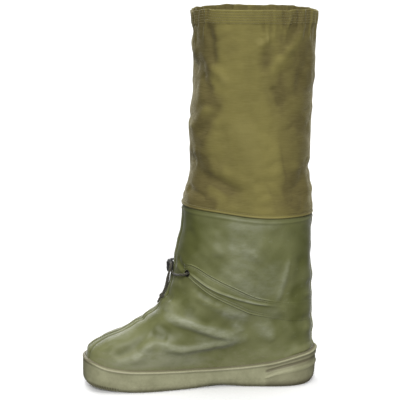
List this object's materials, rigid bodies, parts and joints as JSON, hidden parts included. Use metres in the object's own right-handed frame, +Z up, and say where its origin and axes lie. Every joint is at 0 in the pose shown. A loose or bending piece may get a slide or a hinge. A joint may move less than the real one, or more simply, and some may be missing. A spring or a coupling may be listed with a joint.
{
  "type": "overshoe",
  "caption": "Tall right overshoe with a moulded rubber sole, coated-fabric foot, textile shaft with a folded hem, deep pile lining, and a drawcord with a cord lock at the ankle and in the hem.",
  "frame": {"origin": "centre of the shoe's outline on the floor that it stands on, under the arch", "axes": "+Z up, the toe points to -Y, the medial (inner) side is +X"},
  "size_m": [0.1426, 0.3385, 0.5351],
  "materials": {
    "sole_rubber": "matt moulded olive-grey rubber",
    "coated_cloth": "satin olive rubber-coated cloth",
    "textile": "woven olive-brown textile",
    "pile": "deep olive-yellow synthetic pile",
    "felt": "pressed felt",
    "cord": "braided dark cord",
    "lock_plastic": "black moulded plastic",
    "eyelet_metal": "blackened metal, worn at the rim"
  },
  "bodies": {
    "root": {"outsole": "sole_rubber", "insole": "felt", "upper": "coated_cloth", "shaft": "textile", "ankle_tape": "coated_cloth", "ankle_eyelet_medial": "eyelet_metal", "ankle_eyelet_lateral": "eyelet_metal", "hem_eyelet_front": "eyelet_metal", "hem_eyelet_back": "eyelet_metal", "ankle_lock": "lock_plastic", "hem_lock": "lock_plastic", "ankle_bar_medial": "cord", "ankle_bar_lateral": "cord", "ankle_strand_upper": "cord", "ankle_strand_lower": "cord", "ankle_knot": "cord", "hem_bar_front": "cord", "hem_bar_back": "cord", "hem_strand_front": "cord", "hem_strand_back": "cord", "hem_knot": "cord"}
  },
  "joints": []
}
